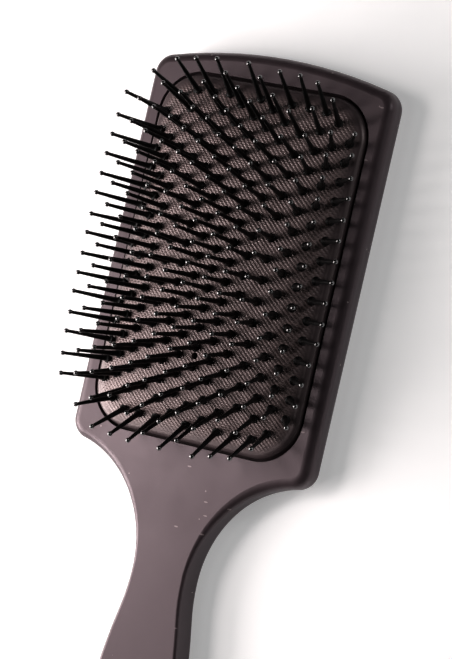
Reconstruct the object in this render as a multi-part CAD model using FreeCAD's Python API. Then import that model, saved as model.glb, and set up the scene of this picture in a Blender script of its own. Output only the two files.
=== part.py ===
import FreeCAD, Part
import math
import os

# Paddle brush lying on its back, in millimetres.
# +X runs across the head, +Y from the handle's end to the head, +Z out of the pins.
# The origin is under the middle of the whole brush, on the plane it lies on.

Vec = FreeCAD.Vector
ORIGIN = Vec(0, 0, 0)

# ---------------------------------------------------------------- body
BODY_LENGTH = 248.0
BODY_THICKNESS = 10.0
WALL = 2.0
PARTING_Z = 5.0             # where the front and back shells meet

HEAD_TOP_Y = BODY_LENGTH / 2
HEAD_TOP_RADIUS = 165.0     # the slow arch along the top edge
HEAD_HALF_WIDTH_TOP = 41.7
HEAD_HALF_WIDTH_BOTTOM = 41.8
HEAD_CORNER_RADIUS = 6.0

PAD_CENTRE_Y = HEAD_TOP_Y - 63.4

NECK_RADIUS = 35.2          # the hollow curve from the head down to the waist
WAIST_HALF_WIDTH = 9.3
WAIST_Y = PAD_CENTRE_Y - 94.8

GRIP_HOLLOW_RADIUS = 57.0   # below the waist the grip opens out on a hollow arc
GRIP_HOLLOW_TURN = math.radians(11.6)
GRIP_BULGE_RADIUS = 210.0   # then swells to its widest on a full arc
GRIP_TAIL_RADIUS = 150.0    # and draws in towards the rounded end

# Edge rounding is large around the head and small around the grip.
FRONT_ROUND_HEAD = 3.0
FRONT_ROUND_GRIP = 1.0
BACK_ROUND_HEAD = 4.8
BACK_ROUND_GRIP = 2.3
LEAST_ROUND = 0.6           # inside the grip, where the wall's thickness leaves less
ROUND_CHANGE_Y = PAD_CENTRE_Y - 65.0

# ---------------------------------------------------------------- pad opening
OPENING_HALF_WIDTH = 36.5
OPENING_HALF_LENGTH = 55.3
OPENING_CORNER_RADIUS = 14.0

# ---------------------------------------------------------------- cushion
CUSHION_GAP = 0.9           # dark groove between the rubber and the frame
CUSHION_WALL = 1.4
SKIRT_WALL = 1.2
DOME_HEIGHT = 9.0           # crown above the face of the frame
DOME_HALF_WIDTH = 36.0
DOME_HALF_LENGTH = 54.8
DOME_SQUARE = 0.52          # share of the crown lost as the square of the distance
DOME_SIXTH = 0.44           # share lost as its sixth power, which makes the shoulder
DOME_DEGREE = 6

FLANGE_REACH = 1.7          # how far the flange runs under the frame's lip
FLANGE_TOP_Z = 7.9
FLANGE_BOTTOM_Z = 6.6
VENT_RADIUS = 1.0
VENT_OFFSET = -29.0         # breathing hole, measured from the pad's middle

# ---------------------------------------------------------------- ring under the flange
RING_TOP_Z = 6.5
RING_BOTTOM_Z = 5.0
RING_INNER_INSET = 1.5      # inside the opening's edge
RING_OUTER_REACH = 1.3      # outside it

# ---------------------------------------------------------------- pins
PIN_REACH = 15.1            # from the rubber to the middle of the ball tip
PIN_FAN = 1.74              # pins lean this much further than the rubber's own slope
BALL_RADIUS = 0.75
SHAFT_TIP_RADIUS = 0.5
SHAFT_ROOT_RADIUS = 0.7
COLLAR_RADIUS = 1.35
COLLAR_LIFT = 0.5           # clears the sloping rubber under the collar's low side
COLLAR_THICKNESS = 0.5
COLLAR_CONE = 0.9
NECK_PIN_RADIUS = 0.75      # the part of a pin that stands in the rubber
PIN_CLEARANCE = 0.05
FOOT_RADIUS = 1.5
FOOT_TOP = -2.0
FOOT_THICKNESS = 0.7
ROW_SHRINK = 7.4e-6         # rows close up a little where the dome falls away

# One entry for each distance from the centre line: distance, pitch along the row,
# pins standing each side of the middle, whether a pin stands at the middle,
# and the place of a last pin set apart from the pitch.
PIN_ROWS = [
    (0.0, 5.89, 9, False, None),
    (5.4, 5.92, 8, True, None),
    (10.7, 5.88, 9, False, None),
    (16.6, 6.37, 7, False, 48.9),
    (22.3, 6.21, 8, True, None),
    (27.0, 6.09, 7, False, 46.3),
    (31.6, 5.95, 7, True, None),
]

# ---------------------------------------------------------------- inside the shells
TONGUE_CLEARANCE = 0.1
TONGUE_WALL = 0.9
TONGUE_HEIGHT = 1.3
TONGUE_ROOT = 1.4
SEAT_RIB_WALL = 1.3
PEG_RADIUS = 1.5
PEG_CLEARANCE = 0.1
SOCKET_WALL = 1.3
PEG_GAP = 0.6               # between a peg's end and the floor of its socket
PEG_PLACES = [-22.0, -48.0, -74.0, -100.0]
BRACE_PLACES = [-35.0, -61.0, -87.0]
BRACE_WALL = 1.2


def arc(start, middle, end):
    points = [Vec(x, y, 0) for x, y in (start, middle, end)]
    return Part.Arc(*points).toShape()


def on_circle(centre, radius, angle):
    return centre[0] + radius * math.cos(angle), centre[1] + radius * math.sin(angle)


def grip_edges():
    """One side of the grip, from the waist down to where the round end starts."""
    waist = (WAIST_HALF_WIDTH, WAIST_Y)
    hollow = (WAIST_HALF_WIDTH + GRIP_HOLLOW_RADIUS, WAIST_Y)
    turn = GRIP_HOLLOW_TURN
    join = on_circle(hollow, GRIP_HOLLOW_RADIUS, math.pi + turn)
    bulge = (join[0] - GRIP_BULGE_RADIUS * math.cos(turn), join[1] - GRIP_BULGE_RADIUS * math.sin(turn))
    widest = (bulge[0] + GRIP_BULGE_RADIUS, bulge[1])
    tail = (widest[0] - GRIP_TAIL_RADIUS, widest[1])

    # The round end touches the tail arc from inside and has its middle on the centre line.
    end_y = -BODY_LENGTH / 2
    drop = tail[1] - end_y
    spread = GRIP_TAIL_RADIUS ** 2 - tail[0] ** 2 - drop ** 2
    end_radius = spread / (2 * (GRIP_TAIL_RADIUS - drop))
    end_centre_y = end_y + end_radius
    angle = math.atan2(end_centre_y - tail[1], -tail[0])
    touch = on_circle((0, end_centre_y), end_radius, angle)
    edges = [
        arc(waist, on_circle(hollow, GRIP_HOLLOW_RADIUS, math.pi + turn / 2), join),
        arc(join, on_circle(bulge, GRIP_BULGE_RADIUS, turn / 2), widest),
        arc(widest, on_circle(tail, GRIP_TAIL_RADIUS, angle / 2), touch),
    ]
    round_end = arc(touch, (0, end_y), (-touch[0], touch[1]))
    return edges, round_end


def head_edges():
    """The arch over the head, and one side from its top corner down to the waist."""
    arch_y = HEAD_TOP_Y - HEAD_TOP_RADIUS
    corner = (HEAD_HALF_WIDTH_TOP, arch_y + math.sqrt(HEAD_TOP_RADIUS ** 2 - HEAD_HALF_WIDTH_TOP ** 2))
    neck = (WAIST_HALF_WIDTH + NECK_RADIUS, WAIST_Y)
    shoulder_x = HEAD_HALF_WIDTH_BOTTOM
    shoulder = (shoulder_x, WAIST_Y + math.sqrt(NECK_RADIUS ** 2 - (neck[0] - shoulder_x) ** 2))
    start = math.atan2(shoulder[1] - neck[1], shoulder[0] - neck[0])
    edges = [
        Part.LineSegment(Vec(*corner, 0), Vec(*shoulder, 0)).toShape(),
        arc(shoulder, on_circle(neck, NECK_RADIUS, (start + math.pi) / 2), (WAIST_HALF_WIDTH, WAIST_Y)),
    ]
    arch = arc((-corner[0], corner[1]), (0, HEAD_TOP_Y), corner)
    return edges, arch


def body_outline():
    """Closed outline of the brush with the head's four corners rounded."""
    head, arch = head_edges()
    grip, round_end = grip_edges()
    half = head + grip
    other_half = [edge.mirror(ORIGIN, Vec(1, 0, 0)) for edge in half]
    wire = Part.Wire(Part.__sortEdges__([arch, round_end] + half + other_half))
    slab = Part.Face(wire).extrude(Vec(0, 0, 1))
    corners = [edge for edge in slab.Edges if is_head_corner(edge)]
    slab = slab.makeFillet(HEAD_CORNER_RADIUS, corners)
    floor = min(slab.Faces, key=lambda face: face.CenterOfMass.z)
    return floor.OuterWire


def is_head_corner(edge):
    upright = abs(edge.Vertexes[0].Z - edge.Vertexes[-1].Z) > 0.5
    return upright and abs(edge.Vertexes[0].X) > HEAD_HALF_WIDTH_TOP - 0.1


def inset(wire, distance):
    return wire.makeOffset2D(-distance) if distance else wire


def prism(wire, low, high):
    slab = Part.Face(wire).extrude(Vec(0, 0, high - low))
    slab.translate(Vec(0, 0, low))
    return slab


def loop_wall(outer, inner, low, high):
    """A wall of constant section that follows two closed outlines."""
    return prism(outer, low, high).cut(prism(inner, low - 1, high + 1))


def round_rim(document, solid, level, head_radius, grip_radius):
    """Round the rim at one level, changing radius along the neck."""
    base = document.addObject("Part::Feature", "base")
    base.Shape = solid
    fillet = document.addObject("Part::Fillet", "rim")
    fillet.Base = base
    rims = []
    for number, edge in enumerate(solid.Edges, 1):
        if all(abs(vertex.Z - level) < 1e-4 for vertex in edge.Vertexes):
            ends = [edge.valueAt(edge.FirstParameter).y, edge.valueAt(edge.LastParameter).y]
            radii = [head_radius if y > ROUND_CHANGE_Y else grip_radius for y in ends]
            rims.append((number, radii[0], radii[1]))
    fillet.Edges = rims
    document.recompute()
    return fillet.Shape.copy()


def rounded_body(document, outline, distance, low, high):
    """The body's form drawn in by a distance, with its rims rounded to match."""
    front_grip = max(FRONT_ROUND_GRIP - distance, LEAST_ROUND)
    back_grip = max(BACK_ROUND_GRIP - distance, LEAST_ROUND)
    solid = prism(inset(outline, distance), low, high)
    solid = round_rim(document, solid, high, FRONT_ROUND_HEAD - distance, front_grip)
    return round_rim(document, solid, low, BACK_ROUND_HEAD - distance, back_grip)


def pad_outline(growth):
    """Rounded rectangle of the pad opening, grown or shrunk all round."""
    half_width = OPENING_HALF_WIDTH + growth
    half_length = OPENING_HALF_LENGTH + growth
    radius = OPENING_CORNER_RADIUS + growth
    corner = Vec(-half_width, PAD_CENTRE_Y - half_length, 0)
    box = Part.makeBox(2 * half_width, 2 * half_length, 1, corner)
    upright = [edge for edge in box.Edges if abs(edge.Vertexes[0].Z - edge.Vertexes[-1].Z) > 0.5]
    box = box.makeFillet(radius, upright)
    floor = min(box.Faces, key=lambda face: face.CenterOfMass.z)
    return floor.OuterWire


def half_space(above):
    """A large block above or below the parting plane."""
    size = 2 * BODY_LENGTH
    low = PARTING_Z if above else PARTING_Z - size
    return Part.makeBox(size, size, size, Vec(-size / 2, -size / 2, low))


def front_shell(body, cavity):
    """Front half: the frame round the cushion and the face of the grip, with pegs inside."""
    shell = body.cut(cavity).common(half_space(True))
    shell = shell.cut(prism(pad_outline(0), PARTING_Z, BODY_THICKNESS + 1))
    top = BODY_THICKNESS - WALL / 2
    bottom = WALL + PEG_GAP
    pegs = [Part.makeCylinder(PEG_RADIUS, top - bottom, Vec(0, y, bottom)) for y in PEG_PLACES]
    return shell.fuse(pegs).removeSplitter()


def back_shell(body, cavity, outline):
    """Back half: floor and walls, a tongue inside the joint, sockets, braces and the ring's seat."""
    shell = body.cut(cavity).common(half_space(False))
    outer = WALL + TONGUE_CLEARANCE
    inner = outer + TONGUE_WALL
    tongue = loop_wall(inset(outline, outer), inset(outline, inner),
                       PARTING_Z - TONGUE_ROOT, PARTING_Z + TONGUE_HEIGHT)
    root = loop_wall(inset(outline, WALL / 2), inset(outline, inner), PARTING_Z - TONGUE_ROOT, PARTING_Z)
    floor = WALL / 2
    seat = loop_wall(pad_outline(RING_OUTER_REACH), pad_outline(RING_OUTER_REACH - SEAT_RIB_WALL),
                     floor, RING_BOTTOM_Z)
    hole = PEG_RADIUS + PEG_CLEARANCE
    sockets = [Part.makeCylinder(hole + SOCKET_WALL, PARTING_Z - floor, Vec(0, y, floor)) for y in PEG_PLACES]
    braces = [brace(outline, y) for y in BRACE_PLACES]
    shell = shell.fuse([tongue, root, seat] + sockets + braces)
    holes = [Part.makeCylinder(hole, PARTING_Z, Vec(0, y, WALL)) for y in PEG_PLACES]
    return shell.cut(holes).removeSplitter()


def brace(outline, y):
    """A cross wall inside the grip, rooted in the middle of the shell's walls."""
    width = 2 * HEAD_HALF_WIDTH_BOTTOM
    wall = Part.makeBox(width, BRACE_WALL, BODY_THICKNESS, Vec(-width / 2, y - BRACE_WALL / 2, 0))
    return wall.common(prism(inset(outline, WALL / 2), WALL / 2, PARTING_Z))


def cushion_ring():
    """Flat ring that clamps the cushion's flange up against the frame's lip."""
    return loop_wall(pad_outline(RING_OUTER_REACH), pad_outline(-RING_INNER_INSET), RING_BOTTOM_Z, RING_TOP_Z)


def crown(ratio):
    """Share of the dome's height left at this share of the way to its edge."""
    return 1 - DOME_SQUARE * ratio ** 2 - DOME_SIXTH * ratio ** 6


def crown_slope(ratio):
    return -2 * DOME_SQUARE * ratio - 6 * DOME_SIXTH * ratio ** 5


def dome_height(x, y):
    along = (y - PAD_CENTRE_Y) / DOME_HALF_LENGTH
    return DOME_HEIGHT * crown(x / DOME_HALF_WIDTH) * crown(along)


def pin_direction(x, y):
    across = x / DOME_HALF_WIDTH
    along = (y - PAD_CENTRE_Y) / DOME_HALF_LENGTH
    slope_x = DOME_HEIGHT * crown_slope(across) * crown(along) / DOME_HALF_WIDTH
    slope_y = DOME_HEIGHT * crown(across) * crown_slope(along) / DOME_HALF_LENGTH
    return Vec(-PIN_FAN * slope_x, -PIN_FAN * slope_y, 1).normalize()


def bernstein(reach):
    """Bezier heights of the crown curve over -reach to +reach of its half width."""
    power = [0.0] * (DOME_DEGREE + 1)
    for exponent, weight in ((0, 1.0), (2, -DOME_SQUARE), (6, -DOME_SIXTH)):
        for k in range(exponent + 1):
            term = math.comb(exponent, k) * (-1) ** (exponent - k) * 2 ** k
            power[k] += weight * reach ** exponent * term
    heights = []
    for i in range(DOME_DEGREE + 1):
        share = [math.comb(i, k) / math.comb(DOME_DEGREE, k) * power[k] for k in range(i + 1)]
        heights.append(sum(share))
    return heights


def dome_face(drop):
    """The dome as one smooth patch, wider than the pad, lowered by a distance."""
    margin = 1.06
    across = bernstein(margin)
    along = bernstein(margin)
    patch = Part.BezierSurface()
    patch.increase(DOME_DEGREE, DOME_DEGREE)
    for i, height_x in enumerate(across):
        for j, height_y in enumerate(along):
            x = DOME_HALF_WIDTH * margin * (2 * i / DOME_DEGREE - 1)
            y = PAD_CENTRE_Y + DOME_HALF_LENGTH * margin * (2 * j / DOME_DEGREE - 1)
            z = BODY_THICKNESS + DOME_HEIGHT * height_x * height_y - drop
            patch.setPole(i + 1, j + 1, Vec(x, y, z))
    return patch.toShape()


def under_dome(drop):
    return dome_face(drop).extrude(Vec(0, 0, -3 * DOME_HEIGHT))


def cushion(pins):
    """Domed rubber pad with a skirt, a flange, pin holes and a breathing hole."""
    outside = pad_outline(-CUSHION_GAP)
    inside = pad_outline(-CUSHION_GAP - SKIRT_WALL)
    top = BODY_THICKNESS + DOME_HEIGHT + 1
    pad = prism(outside, FLANGE_BOTTOM_Z, top).common(under_dome(0))
    hollow = prism(inside, FLANGE_BOTTOM_Z - 1, top).common(under_dome(CUSHION_WALL))
    flange = loop_wall(pad_outline(FLANGE_REACH), inside, FLANGE_BOTTOM_Z, FLANGE_TOP_Z)
    pad = pad.cut(hollow).fuse(flange)
    hole = NECK_PIN_RADIUS + PIN_CLEARANCE
    reach = COLLAR_LIFT - FOOT_TOP
    holes = []
    for base, direction in pins:
        holes.append(Part.makeCylinder(hole, 2 * reach, base - direction * reach, direction))
    vent_place = Vec(0, PAD_CENTRE_Y + VENT_OFFSET, BODY_THICKNESS)
    vent = Part.makeCylinder(VENT_RADIUS, DOME_HEIGHT + 1, vent_place)
    return pad.cut(holes + [vent]).removeSplitter()


def row_places(pitch, count, with_middle, last):
    """Distances of one row's pins from the pad's middle, on both sides."""
    places = [0.0] if with_middle else []
    for k in range(1, count + 1):
        reach = (k if with_middle else k - 0.5) * pitch
        reach -= ROW_SHRINK * reach ** 3
        places += [reach, -reach]
    if last:
        places += [last, -last]
    return sorted(places)


def row_pins(x, row):
    """Foot point on the dome and direction of each pin in a row."""
    pins = []
    for place in row_places(*row):
        y = PAD_CENTRE_Y + place
        base = Vec(x, y, BODY_THICKNESS + dome_height(x, y))
        pins.append((base, pin_direction(x, y)))
    return pins


def pin_shape():
    """One moulded pin along +Z: foot, neck, collar, tapered shaft and ball tip."""
    foot_bottom = FOOT_TOP - FOOT_THICKNESS
    collar_top = COLLAR_LIFT + COLLAR_THICKNESS
    ball_join = PIN_REACH - math.sqrt(BALL_RADIUS ** 2 - SHAFT_TIP_RADIUS ** 2)
    profile = [
        (0, foot_bottom),
        (FOOT_RADIUS, foot_bottom),
        (FOOT_RADIUS, FOOT_TOP),
        (NECK_PIN_RADIUS, FOOT_TOP),
        (NECK_PIN_RADIUS, COLLAR_LIFT),
        (COLLAR_RADIUS, COLLAR_LIFT),
        (COLLAR_RADIUS, collar_top),
        (SHAFT_ROOT_RADIUS, collar_top + COLLAR_CONE),
        (SHAFT_TIP_RADIUS, ball_join),
    ]
    points = [Vec(radius, 0, height) for radius, height in profile]
    edges = [Part.LineSegment(a, b).toShape() for a, b in zip(points, points[1:])]
    tip = Vec(0, 0, PIN_REACH + BALL_RADIUS)
    edges.append(Part.Arc(points[-1], Vec(BALL_RADIUS, 0, PIN_REACH), tip).toShape())
    edges.append(Part.LineSegment(tip, points[0]).toShape())
    return Part.Face(Part.Wire(edges)).revolve(ORIGIN, Vec(0, 0, 1), 360)


def pin_row(pins):
    """All the pins of one row as separate solids."""
    pin = pin_shape()
    solids = []
    for base, direction in pins:
        place = FreeCAD.Placement(base, FreeCAD.Rotation(Vec(0, 0, 1), direction))
        solids.append(pin.transformed(place.toMatrix(), True))
    return Part.makeCompound(solids)


def all_rows():
    """Rows from -X to +X, mirrored about the middle one."""
    sides = [(-row[0], row[1:]) for row in reversed(PIN_ROWS[1:])]
    return sides + [(row[0], row[1:]) for row in PIN_ROWS]


def save(node, shape):
    if not shape.isValid():
        raise ValueError(node + " is not valid")
    shape.exportStep("parts/" + node + ".step")
    print(node, len(shape.Solids), "solids", round(shape.Volume, 1), "mm3")


def main():
    os.makedirs("parts", exist_ok=True)
    document = FreeCAD.newDocument("brush")
    outline = body_outline()
    body = rounded_body(document, outline, 0, 0, BODY_THICKNESS)
    cavity = rounded_body(document, outline, WALL, WALL, BODY_THICKNESS - WALL)
    save("front_shell", front_shell(body, cavity))
    save("back_shell", back_shell(body, cavity, outline))
    save("cushion_ring", cushion_ring())

    rows = [row_pins(x, row) for x, row in all_rows()]
    save("cushion", cushion([pin for row in rows for pin in row]))
    for number, pins in enumerate(rows, 1):
        save(f"pin_row_{number:02d}", pin_row(pins))


main()
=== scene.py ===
import math
import random

import bmesh
import bpy
import numpy as np
from mathutils import Matrix, Vector

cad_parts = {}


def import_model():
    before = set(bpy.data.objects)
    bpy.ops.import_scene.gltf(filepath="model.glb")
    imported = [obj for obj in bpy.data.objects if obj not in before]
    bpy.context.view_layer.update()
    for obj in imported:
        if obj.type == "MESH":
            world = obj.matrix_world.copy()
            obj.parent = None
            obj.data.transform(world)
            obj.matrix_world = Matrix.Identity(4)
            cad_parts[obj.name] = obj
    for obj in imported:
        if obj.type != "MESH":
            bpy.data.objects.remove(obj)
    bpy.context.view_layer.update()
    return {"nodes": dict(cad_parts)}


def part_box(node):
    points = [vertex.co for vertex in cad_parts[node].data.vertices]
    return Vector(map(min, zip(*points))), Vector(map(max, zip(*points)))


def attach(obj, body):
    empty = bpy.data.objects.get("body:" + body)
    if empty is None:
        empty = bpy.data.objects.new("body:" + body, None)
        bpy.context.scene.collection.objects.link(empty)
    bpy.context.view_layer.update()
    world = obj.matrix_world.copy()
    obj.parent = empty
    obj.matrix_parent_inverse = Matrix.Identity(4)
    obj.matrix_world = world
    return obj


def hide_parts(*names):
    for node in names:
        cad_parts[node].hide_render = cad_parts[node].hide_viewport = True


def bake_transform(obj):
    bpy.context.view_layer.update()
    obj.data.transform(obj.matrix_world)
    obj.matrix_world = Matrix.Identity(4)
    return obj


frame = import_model()

# A paddle brush lying on its back: +X across the head, +Y towards the head's top, +Z out of the pins.
# Lengths are in metres and colours are linear.

MM = 0.001

# ---------------------------------------------------------------- places read from the frame
FACE_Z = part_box("front_shell")[1].z                # plane of the frame's face
FLANGE_LOW, DOME_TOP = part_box("cushion")           # the flange is the pad's widest part
PAD_Y = (FLANGE_LOW.y + DOME_TOP.y) / 2            # middle of the pad
PIN_NODES = sorted(name for name in frame["nodes"] if name.startswith("pin_row_"))

# ---------------------------------------------------------------- cushion, as the CAD draws it
DOME_HEIGHT = DOME_TOP.z - FACE_Z
DOME_HALF_WIDTH = 36.0 * MM
DOME_HALF_LENGTH = 54.8 * MM
DOME_SQUARE = 0.52                                 # how the crown falls away from the middle
DOME_SIXTH = 0.44
FLANGE_REACH = 1.7 * MM                            # flange beyond the frame's opening
FLANGE_TOP_Z = 7.9 * MM
GROOVE = 0.9 * MM                                  # between the opening's edge and the rubber
OPENING_CORNER = 14.0 * MM
RUBBER_WALL = 1.4 * MM
SKIRT_WALL = 1.2 * MM
VENT_Y = PAD_Y - 29.0 * MM
VENT_RADIUS = 1.0 * MM
SHOULDER = 2.0 * MM                                # the rubber's edge rolls over into the groove
DIMPLE_DEPTH = 0.28 * MM                           # the rubber dips round each pin
DIMPLE_REACH = 1.9 * MM
INSIDE_CORNER = 0.4 * MM                           # step where the skirt meets the dome inside
WEAVE_MARGIN = 1.8 * MM                            # plain rubber at the edge, then the weave fades in
WEAVE_FADE = 3.2 * MM

# ---------------------------------------------------------------- fineness of the cushion's mesh
SIDE_STEPS = 92
END_STEPS = 60
CORNER_STEPS = 34
CROWN_STEPS = 64
SHOULDER_STEPS = 7
INSIDE_SHARES = (1.0, 0.97, 0.9, 0.8, 0.66, 0.5, 0.34, 0.17)

# ---------------------------------------------------------------- weave, in waves per metre
WEAVE_ACROSS = 667
WEAVE_ALONG = 723

# ---------------------------------------------------------------- pins, measured from the rubber
FOOT_DEPTH = 2.7 * MM
BALL_RADIUS = 0.75 * MM
SHAFT_TIP_RADIUS = 0.5 * MM
PIN_SIDES = 20
BALL_STEPS = 9                                     # rings round the ball tip
PIN_TILT = math.radians(1.0)                       # real pins stand a little unevenly
PIN_TILT_MOST = math.radians(2.0)


# ---------------------------------------------------------------- material helpers
def new_material(name, colour, roughness, specular=0.5):
    material = bpy.data.materials.new(name)
    material.use_nodes = True
    shader = material.node_tree.nodes["Principled BSDF"]
    shader.inputs["Base Color"].default_value = (*colour, 1)
    shader.inputs["Roughness"].default_value = roughness
    shader.inputs["Specular IOR Level"].default_value = specular
    return material, material.node_tree, shader


def object_place(tree):
    return tree.nodes.new("ShaderNodeTexCoord").outputs["Object"]


def maths(tree, operation, first, second=None, third=None):
    """One Math node: sockets are linked and numbers are set."""
    node = tree.nodes.new("ShaderNodeMath")
    node.operation = operation
    for socket, value in zip(node.inputs, (first, second, third)):
        if isinstance(value, (int, float)):
            socket.default_value = value
        elif value is not None:
            tree.links.new(value, socket)
    return node.outputs[0]


def scaled(tree, place, factors):
    node = tree.nodes.new("ShaderNodeVectorMath")
    node.operation = "MULTIPLY"
    node.inputs[1].default_value = factors
    tree.links.new(place, node.inputs[0])
    return node.outputs[0]


def wave(tree, place, direction):
    """Sine of a plane wave: direction holds waves per metre along each axis."""
    node = tree.nodes.new("ShaderNodeVectorMath")
    node.operation = "DOT_PRODUCT"
    node.inputs[1].default_value = [2 * math.pi * part for part in direction]
    tree.links.new(place, node.inputs[0])
    return maths(tree, "SINE", node.outputs["Value"])


def noise(tree, place, scale, detail=2.0, roughness=0.5):
    node = tree.nodes.new("ShaderNodeTexNoise")
    node.inputs["Scale"].default_value = scale
    node.inputs["Detail"].default_value = detail
    node.inputs["Roughness"].default_value = roughness
    tree.links.new(place, node.inputs["Vector"])
    return node.outputs["Fac"]


def ramp(tree, value, stops):
    """Colour ramp: stops are (position, colour), and a colour may be one number for a grey."""
    node = tree.nodes.new("ShaderNodeValToRGB")
    tree.links.new(value, node.inputs[0])
    elements = node.color_ramp.elements
    while len(elements) < len(stops):
        elements.new(0.5)
    for element, (position, colour) in zip(elements, stops):
        element.position = position
        shade = (colour,) * 3 if isinstance(colour, (int, float)) else colour
        element.color = (*shade, 1)
    return node.outputs["Color"]


def spread(tree, value, low, high, out_low, out_high):
    node = tree.nodes.new("ShaderNodeMapRange")
    tree.links.new(value, node.inputs["Value"])
    for name, number in (("From Min", low), ("From Max", high), ("To Min", out_low), ("To Max", out_high)):
        node.inputs[name].default_value = number
    return node.outputs["Result"]


def mixed(tree, factor, first, second):
    node = tree.nodes.new("ShaderNodeMix")
    node.data_type = "RGBA"
    tree.links.new(factor, node.inputs["Factor"])
    colour_inputs = [socket for socket in node.inputs if socket.type == "RGBA"]
    for socket, value in zip(colour_inputs, (first, second)):
        if isinstance(value, tuple):
            socket.default_value = (*value, 1)
        else:
            tree.links.new(value, socket)
    return [socket for socket in node.outputs if socket.type == "RGBA"][0]


def bumped(tree, shader, height, distance):
    node = tree.nodes.new("ShaderNodeBump")
    node.inputs["Distance"].default_value = distance
    node.inputs["Strength"].default_value = 1.0
    tree.links.new(height, node.inputs["Height"])
    tree.links.new(node.outputs["Normal"], shader.inputs["Normal"])


def set_material(obj, material):
    obj.data.materials.clear()
    obj.data.materials.append(material)


# ---------------------------------------------------------------- materials
def dust(tree, place, scale, stretch, size, share):
    """Sparse specks: 1 on a speck and 0 elsewhere. Only a share of the cells hold one."""
    cells = tree.nodes.new("ShaderNodeTexVoronoi")
    cells.inputs["Scale"].default_value = scale
    cells.inputs["Randomness"].default_value = 1.0
    tree.links.new(scaled(tree, place, stretch), cells.inputs["Vector"])
    near = maths(tree, "LESS_THAN", cells.outputs["Distance"], size)
    split = tree.nodes.new("ShaderNodeSeparateColor")
    tree.links.new(cells.outputs["Color"], split.inputs[0])
    chosen = maths(tree, "LESS_THAN", split.outputs[0], share)
    return maths(tree, "MULTIPLY", near, chosen)


def soft_touch_paint():
    """Satin soft-touch paint: dark plum taupe, faintly mottled, finely grained, with a little dust."""
    material, tree, shader = new_material("soft_touch_paint", (0.05, 0.037, 0.041), 0.4, specular=0.65)
    shader.inputs["Specular Tint"].default_value = (1.0, 0.84, 0.9, 1)
    place = object_place(tree)
    cloud = noise(tree, place, 38, detail=5, roughness=0.6)
    grain = noise(tree, place, 2600, detail=1)
    colour = ramp(tree, cloud, [(0.3, (0.046, 0.034, 0.038)), (0.7, (0.06, 0.044, 0.049))])
    specks = dust(tree, place, 220, (1, 1, 1), 0.055, 0.3)
    dashes = dust(tree, place, 110, (1.0, 3.2, 1.0), 0.075, 0.3)
    dirt = maths(tree, "MAXIMUM", specks, dashes)
    tree.links.new(mixed(tree, dirt, colour, (0.3, 0.25, 0.25)), shader.inputs["Base Color"])
    rough = spread(tree, cloud, 0.3, 0.7, 0.33, 0.5)
    tree.links.new(rough, shader.inputs["Roughness"])
    bumped(tree, shader, grain, 0.00001)
    return material


def inner_plastic():
    """Plain black moulding of the ring that clamps the cushion."""
    material, tree, shader = new_material("inner_plastic", (0.02, 0.02, 0.02), 0.5)
    grain = noise(tree, object_place(tree), 1800, detail=2)
    tree.links.new(spread(tree, grain, 0.3, 0.7, 0.42, 0.6), shader.inputs["Roughness"])
    tree.links.new(ramp(tree, grain, [(0.3, 0.015), (0.7, 0.026)]), shader.inputs["Base Color"])
    return material


def woven_rubber():
    """Moulded rubber with a cloth weave: short slanted stitches in staggered rows, with a painted
    highlight: the raised stitches are coloured lighter.
    """
    material, tree, shader = new_material("woven_rubber", (0.16, 0.12, 0.12), 0.4, specular=0.9)
    shader.inputs["Specular Tint"].default_value = (1.0, 0.85, 0.84, 1)
    place = object_place(tree)
    slant = wave(tree, place, (WEAVE_ACROSS, WEAVE_ALONG, 0))
    counter = wave(tree, place, (WEAVE_ACROSS, -WEAVE_ALONG, 0))
    rows = wave(tree, place, (0, 2 * WEAVE_ALONG, 0))
    stitch = maths(tree, "MULTIPLY_ADD", rows, 0.55, slant)
    stitch = maths(tree, "MULTIPLY_ADD", counter, 0.3, stitch)
    uneven = noise(tree, place, 900, detail=2)
    stitch = maths(tree, "MULTIPLY_ADD", uneven, 0.8, stitch)
    covered = tree.nodes.new("ShaderNodeAttribute")
    covered.attribute_name = "weave"
    share = covered.outputs["Fac"]
    level = spread(tree, stitch, -1.0, 1.9, 0, 1)
    relief = maths(tree, "MULTIPLY", level, share)
    # painted highlight: the ramp follows the stitch height, so the raised stitches are coloured lighter
    # and stand in for glints on the threads; the plain rubber near the edge gets no painted highlight and
    # stays darker
    colour = ramp(tree, level, [(0.1, (0.115, 0.086, 0.085)), (0.8, (0.25, 0.188, 0.184))])
    plain = (0.07, 0.053, 0.056)
    tree.links.new(mixed(tree, share, plain, colour), shader.inputs["Base Color"])
    bumped(tree, shader, relief, 0.00022)
    return material


def black_nylon():
    """Dull black nylon of the shafts and collars, with faint moulding marks."""
    material, tree, shader = new_material("black_nylon", (0.002, 0.002, 0.002), 0.5, specular=0.3)
    marks = noise(tree, object_place(tree), 700, detail=2)
    tree.links.new(spread(tree, marks, 0.3, 0.7, 0.4, 0.6), shader.inputs["Roughness"])
    tree.links.new(ramp(tree, marks, [(0.3, 0.0015), (0.7, 0.003)]), shader.inputs["Base Color"])
    return material


def bead_lacquer():
    """Hard glossy drop that rounds off each pin's tip."""
    material, tree, shader = new_material("bead_lacquer", (0.004, 0.004, 0.004), 0.15, specular=1.0)
    shader.inputs["IOR"].default_value = 1.8
    marks = noise(tree, object_place(tree), 900, detail=2)
    tree.links.new(spread(tree, marks, 0.3, 0.7, 0.18, 0.28), shader.inputs["Roughness"])
    tree.links.new(ramp(tree, marks, [(0.3, 0.003), (0.7, 0.006)]), shader.inputs["Base Color"])
    return material


# ---------------------------------------------------------------- mesh helpers
def finish_mesh(name, shape, material):
    """Turn a bmesh into a smooth-shaded object with one material."""
    mesh = bpy.data.meshes.new(name)
    bmesh.ops.recalc_face_normals(shape, faces=shape.faces)
    shape.to_mesh(mesh)
    shape.free()
    mesh.polygons.foreach_set("use_smooth", [True] * len(mesh.polygons))
    obj = bpy.data.objects.new(name, mesh)
    bpy.context.scene.collection.objects.link(obj)
    obj.data.materials.append(material)
    return obj


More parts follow.
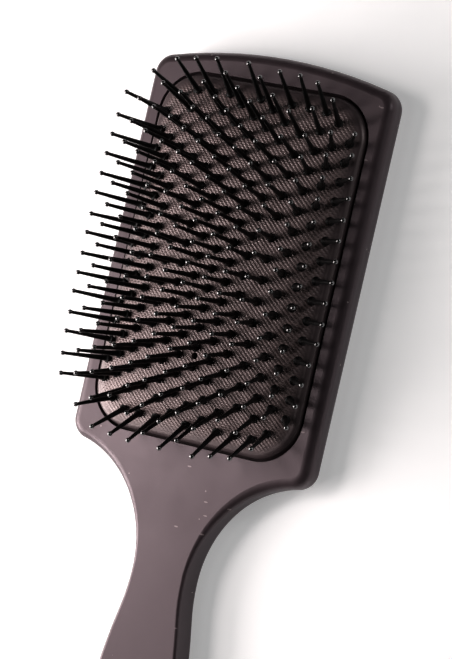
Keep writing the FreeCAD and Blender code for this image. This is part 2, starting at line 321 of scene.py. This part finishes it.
def islands(mesh):
    """Corner places of each loose solid in a mesh, one array for each."""
    shape = bmesh.new()
    shape.from_mesh(mesh)
    bmesh.ops.remove_doubles(shape, verts=shape.verts, dist=0.001 * MM)
    groups = []
    seen = set()
    for start in shape.verts:
        if start in seen:
            continue
        seen.add(start)
        stack = [start]
        group = []
        while stack:
            vert = stack.pop()
            group.append(vert.co[:])
            for edge in vert.link_edges:
                other = edge.other_vert(vert)
                if other not in seen:
                    seen.add(other)
                    stack.append(other)
        groups.append(np.array(group))
    shape.free()
    return groups


# ---------------------------------------------------------------- pins
def pin_profile(reach):
    """Radius and height up one pin: foot inside the rubber, collar, flare, taper and ball tip."""
    ball = BALL_RADIUS / MM
    tip_radius = SHAFT_TIP_RADIUS / MM
    top = reach / MM
    neck = top - math.sqrt(ball ** 2 - tip_radius ** 2)
    steps = [
        (0.0, -2.7), (1.42, -2.7), (1.5, -2.62), (1.5, -2.08), (1.42, -2.0), (0.74, -2.0),
        (0.74, 0.5), (1.26, 0.5), (1.36, 0.55), (1.39, 0.64), (1.39, 0.88), (1.36, 0.97),
        (1.25, 1.04), (1.11, 1.2), (0.99, 1.45), (0.9, 1.8), (0.84, 2.3), (0.8, 3.0),
    ]
    for share in (0.25, 0.5, 0.75, 0.92):
        steps.append((0.79 + (tip_radius - 0.79) * share, 3.0 + (neck - 0.35 - 3.0) * share))
    steps.append((tip_radius + 0.01, neck - 0.22))
    start = math.atan2(neck - top, tip_radius)
    for k in range(BALL_STEPS):
        angle = start + (math.pi / 2 - start) * k / BALL_STEPS
        steps.append((ball * math.cos(angle), top + ball * math.sin(angle)))
    steps.append((0.0, top + ball))
    return [(radius * MM, height * MM) for radius, height in steps]


def add_pin(shape, matrix, profile):
    """Revolve the profile round the pin's axis into the growing mesh."""
    rings = []
    for radius, height in profile:
        if radius == 0:
            rings.append([shape.verts.new(matrix @ Vector((0, 0, height)))])
            continue
        ring = []
        for k in range(PIN_SIDES):
            turn = 2 * math.pi * k / PIN_SIDES
            place = Vector((radius * math.cos(turn), radius * math.sin(turn), height))
            ring.append(shape.verts.new(matrix @ place))
        rings.append(ring)
    for step, (low, high) in enumerate(zip(rings, rings[1:])):
        for k in range(PIN_SIDES):
            following = (k + 1) % PIN_SIDES
            corners = [low[k % len(low)], low[following % len(low)],
                       high[following % len(high)], high[k % len(high)]]
            face = shape.faces.new(list(dict.fromkeys(corners)))
            face.material_index = 1 if step > len(profile) - BALL_STEPS - 2 else 0


def pin_axis(points):
    """Where one CAD pin leaves the rubber, the way it points, and how far its ball's centre is."""
    middle = points.mean(axis=0)
    _, axes = np.linalg.eigh(np.cov((points - middle).T))
    axis = Vector(axes[:, 2])
    if axis.z < 0:
        axis.negate()
    along = (points - middle) @ np.array(axis)
    root = Vector(middle) + axis * (float(along.min()) + FOOT_DEPTH)
    reach = float(along.max() - along.min()) - FOOT_DEPTH - BALL_RADIUS
    return root, axis, reach


def lean(draw):
    """A small turn about X and Y."""
    turns = []
    for _ in range(2):
        tilt = draw.gauss(0, PIN_TILT)
        turns.append(max(-PIN_TILT_MOST, min(PIN_TILT_MOST, tilt)))
    return Matrix.Rotation(turns[0], 4, "X") @ Matrix.Rotation(turns[1], 4, "Y")


def pin_rows(material, tip_material):
    draw = random.Random(11)
    for node in PIN_NODES:
        shape = bmesh.new()
        pins = islands(frame["nodes"][node].data)
        pins.sort(key=lambda points: points[:, 1].mean())
        for points in pins:
            root, axis, reach = pin_axis(points)
            upright = axis.to_track_quat("Z", "Y").to_matrix().to_4x4()
            add_pin(shape, Matrix.Translation(root) @ lean(draw) @ upright, pin_profile(reach))
        row = finish_mesh(node.replace("pin_row", "pins"), shape, material)
        row.data.materials.append(tip_material)
        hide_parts(node)
        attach(row, node.replace("pin_row", "row"))


# ---------------------------------------------------------------- cushion
def crown(ratio):
    return 1 - DOME_SQUARE * ratio ** 2 - DOME_SIXTH * ratio ** 6


def dome_z(x, y):
    return FACE_Z + DOME_HEIGHT * crown(x / DOME_HALF_WIDTH) * crown((y - PAD_Y) / DOME_HALF_LENGTH)


def pad_outline(inset):
    """Points and outward directions round the pad, this far inside the frame's opening."""
    half_width = DOME_TOP.x - FLANGE_REACH - inset
    half_length = DOME_TOP.y - PAD_Y - FLANGE_REACH - inset
    radius = OPENING_CORNER - inset
    points = []
    for quarter in range(4):
        side = math.pi / 2 * quarter
        wide, long = (half_width, half_length) if quarter % 2 == 0 else (half_length, half_width)
        straight = SIDE_STEPS if quarter % 2 == 0 else END_STEPS
        out = Vector((math.cos(side), math.sin(side)))
        along = Vector((-out.y, out.x))
        for k in range(straight):
            reach = (long - radius) * (2 * k / straight - 1)
            points.append((out * wide + along * reach, out))
        centre = out * (wide - radius) + along * (long - radius)
        for k in range(CORNER_STEPS):
            turn = math.pi / 2 * k / CORNER_STEPS
            way = out * math.cos(turn) + along * math.sin(turn)
            points.append((centre + way * radius, way))
    return [(point + Vector((0, PAD_Y)), way) for point, way in points]


def dimple(x, y, roots):
    """How far the rubber is drawn down round the nearest pin."""
    nearest = math.sqrt(float(np.min((roots[:, 0] - x) ** 2 + (roots[:, 1] - y) ** 2)))
    return DIMPLE_DEPTH * math.exp(-((nearest / DIMPLE_REACH) ** 2))


def cushion_sections(roots):
    """Closed rings from the crown's middle over the edge, down the skirt, and back under the dome."""
    edge = pad_outline(GROOVE)
    inner = pad_outline(GROOVE + SKIRT_WALL)
    flange = pad_outline(-FLANGE_REACH)
    centre = Vector((0, PAD_Y))
    sections = []
    for k in range(1, CROWN_STEPS + 1):
        share = k / CROWN_STEPS
        ring = []
        for point, way in edge:
            place = centre + (point - way * SHOULDER - centre) * share
            ring.append((place.x, place.y, dome_z(place.x, place.y) - dimple(place.x, place.y, roots)))
        sections.append(ring)
    for k in range(1, SHOULDER_STEPS + 1):
        turn = math.pi / 2 * k / SHOULDER_STEPS
        ring = []
        for point, way in edge:
            place = point - way * SHOULDER * (1 - math.sin(turn))
            rim = point - way * SHOULDER
            level = dome_z(rim.x, rim.y) - SHOULDER * (1 - math.cos(turn))
            ring.append((place.x, place.y, level))
        sections.append(ring)
    for outline, level in ((edge, FLANGE_TOP_Z), (flange, FLANGE_TOP_Z),
                           (flange, FLANGE_LOW.z), (inner, FLANGE_LOW.z)):
        sections.append([(point.x, point.y, level) for point, _ in outline])
    for share in INSIDE_SHARES:
        ring = []
        for point, _ in inner:
            place = centre + (point - centre) * share
            level = dome_z(place.x, place.y) - RUBBER_WALL
            ring.append((place.x, place.y, level - (INSIDE_CORNER if share == 1.0 else 0)))
        sections.append(ring)
    return sections


def add_rings(shape, sections, first_z, last_z):
    """Join the rings one to the next, and close the first and the last with a fan."""
    rings = [[shape.verts.new(place) for place in ring] for ring in sections]
    count = len(rings[0])
    for low, high in zip(rings, rings[1:]):
        for k in range(count):
            following = (k + 1) % count
            shape.faces.new([low[k], low[following], high[following], high[k]])
    for ring, level in ((rings[0], first_z), (rings[-1], last_z)):
        middle = shape.verts.new((0, PAD_Y, level))
        for k in range(count):
            shape.faces.new([ring[k], ring[(k + 1) % count], middle])


def punch_vent(pad):
    """Cut the breathing hole through the rubber."""
    shape = bmesh.new()
    bmesh.ops.create_cone(shape, cap_ends=True, segments=32, radius1=VENT_RADIUS,
                          radius2=VENT_RADIUS, depth=12 * MM)
    mesh = bpy.data.meshes.new("vent_cut")
    shape.to_mesh(mesh)
    shape.free()
    cutter = bpy.data.objects.new("vent_cut", mesh)
    cutter.location = (0, VENT_Y, dome_z(0, VENT_Y))
    bpy.context.scene.collection.objects.link(cutter)
    cut = pad.modifiers.new("vent", "BOOLEAN")
    cut.operation = "DIFFERENCE"
    cut.object = cutter
    bpy.context.view_layer.update()
    result = bpy.data.meshes.new_from_object(pad.evaluated_get(bpy.context.evaluated_depsgraph_get()))
    pad.modifiers.clear()
    pad.data = result
    bpy.data.objects.remove(cutter)


def mark_weave(pad):
    """Store how strongly the moulded weave and its painted stitch highlight show: 1 on the dome, falling
    to 0 at its edge.
    """
    half_width = DOME_TOP.x - FLANGE_REACH - GROOVE
    half_length = DOME_TOP.y - PAD_Y - FLANGE_REACH - GROOVE
    corner = OPENING_CORNER - GROOVE
    attribute = pad.data.attributes.new("weave", "FLOAT", "POINT")
    for vert, value in zip(pad.data.vertices, attribute.data):
        across = max(abs(vert.co.x) - half_width + corner, 0)
        along = max(abs(vert.co.y - PAD_Y) - half_length + corner, 0)
        inside = corner - math.hypot(across, along)
        if across == 0 or along == 0:
            inside = min(half_width - abs(vert.co.x), half_length - abs(vert.co.y - PAD_Y))
        value.value = min(max((inside - WEAVE_MARGIN) / WEAVE_FADE, 0), 1)


def cushion(material):
    roots = []
    for node in PIN_NODES:
        for points in islands(frame["nodes"][node].data):
            root, _, _ = pin_axis(points)
            roots.append(root[:2])
    shape = bmesh.new()
    sections = cushion_sections(np.array(roots))
    add_rings(shape, sections, DOME_TOP.z, DOME_TOP.z - RUBBER_WALL)
    pad = finish_mesh("cushion_pad", shape, material)
    punch_vent(pad)
    mark_weave(pad)
    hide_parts("cushion")
    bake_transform(pad)


# ---------------------------------------------------------------- floor, light and camera
FLOOR_REACH = 3.0
FLOOR_DROP = 0.2 * MM                              # just under the part


def floor():
    mesh = bpy.data.meshes.new("floor")
    corners = [(FLOOR_REACH * x, FLOOR_REACH * y, 0) for x, y in ((-1, -1), (1, -1), (1, 1), (-1, 1))]
    mesh.from_pydata(corners, [], [(0, 1, 2, 3)])
    plane = bpy.data.objects.new("floor", mesh)
    plane.location.z = -FLOOR_DROP
    bpy.context.scene.collection.objects.link(plane)
    material, tree, shader = new_material("floor_white", (0.95, 0.95, 0.95), 0.9, specular=0.1)
    shader.inputs["Emission Color"].default_value = (1, 1, 1, 1)
    shader.inputs["Emission Strength"].default_value = 0.25
    set_material(plane, material)


def area_light(name, place, aim, size, power, colour=(1, 1, 1)):
    data = bpy.data.lights.new(name, "AREA")
    data.shape = "RECTANGLE"
    data.size, data.size_y = size
    data.energy = power
    data.color = colour
    light = bpy.data.objects.new(name, data)
    bpy.context.scene.collection.objects.link(light)
    light.location = place
    light.rotation_mode = "QUATERNION"
    light.rotation_quaternion = (Vector(aim) - Vector(place)).to_track_quat("-Z", "Y")


def world():
    """Almost no light but the lamps."""
    scene = bpy.context.scene
    scene.world = bpy.data.worlds.new("studio")
    scene.world.use_nodes = True
    background = scene.world.node_tree.nodes["Background"]
    background.inputs["Color"].default_value = (1, 1, 1, 1)
    background.inputs["Strength"].default_value = 0.01


PAD_MIDDLE = Vector((0, PAD_Y, FACE_Z))
CAMERA_PLACE = PAD_MIDDLE + Vector((0.44745, -0.03507, 0.77034))
CAMERA_AIM = PAD_MIDDLE + Vector((0.004, -0.01926, 0))
CAMERA_ROLL = math.radians(13.05)
LENS = 163.9
SENSOR = 36.0


def camera():
    data = bpy.data.cameras.new("camera")
    data.sensor_width = SENSOR
    data.lens = LENS
    data.clip_start = 0.05
    data.clip_end = 20
    cam = bpy.data.objects.new("camera", data)
    bpy.context.scene.collection.objects.link(cam)
    forward = (CAMERA_AIM - CAMERA_PLACE).normalized()
    right = forward.cross(Vector((0, 1, 0))).normalized()
    up = right.cross(forward)
    upright = Matrix((right, up, -forward)).transposed()
    roll = Matrix.Rotation(CAMERA_ROLL, 3, "Z")
    cam.matrix_world = Matrix.Translation(CAMERA_PLACE) @ (upright @ roll).to_4x4()
    bpy.context.scene.camera = cam


def lights():
    warm = (1.0, 0.93, 0.92)
    neck = PAD_MIDDLE + Vector((0, -0.05, 0))
    area_light("key", PAD_MIDDLE + Vector((-0.49, -0.27, 0.23)), PAD_MIDDLE, (0.45, 0.3), 2.3, warm)
    area_light("low_left", PAD_MIDDLE + Vector((-0.27, -0.12, 0.12)), neck, (0.2, 0.14), 0.5, warm)
    area_light("sheen", PAD_MIDDLE + Vector((-0.37, -0.01, 0.5)), PAD_MIDDLE, (0.18, 0.18), 0.6, warm)
    area_light("glow", PAD_MIDDLE + Vector((-0.27, -0.08, 0.34)), PAD_MIDDLE, (0.15, 0.15), 0.34, warm)
    area_light("top", PAD_MIDDLE + Vector((-0.15, -0.1, 0.8)), PAD_MIDDLE, (0.3, 0.3), 0.25)
    area_light("spark", PAD_MIDDLE + Vector((0.5, 0.3, 0.22)), PAD_MIDDLE, (0.1, 0.1), 0.4)


paint = soft_touch_paint()
set_material(frame["nodes"]["front_shell"], paint)
set_material(frame["nodes"]["back_shell"], paint)
set_material(frame["nodes"]["cushion_ring"], inner_plastic())
pin_rows(black_nylon(), bead_lacquer())
cushion(woven_rubber())

camera()
floor()
world()
lights()
bpy.context.scene.view_settings.view_transform = "Standard"
bpy.context.scene.view_settings.exposure = 0.45
bpy.context.scene.view_settings.gamma = 0.85
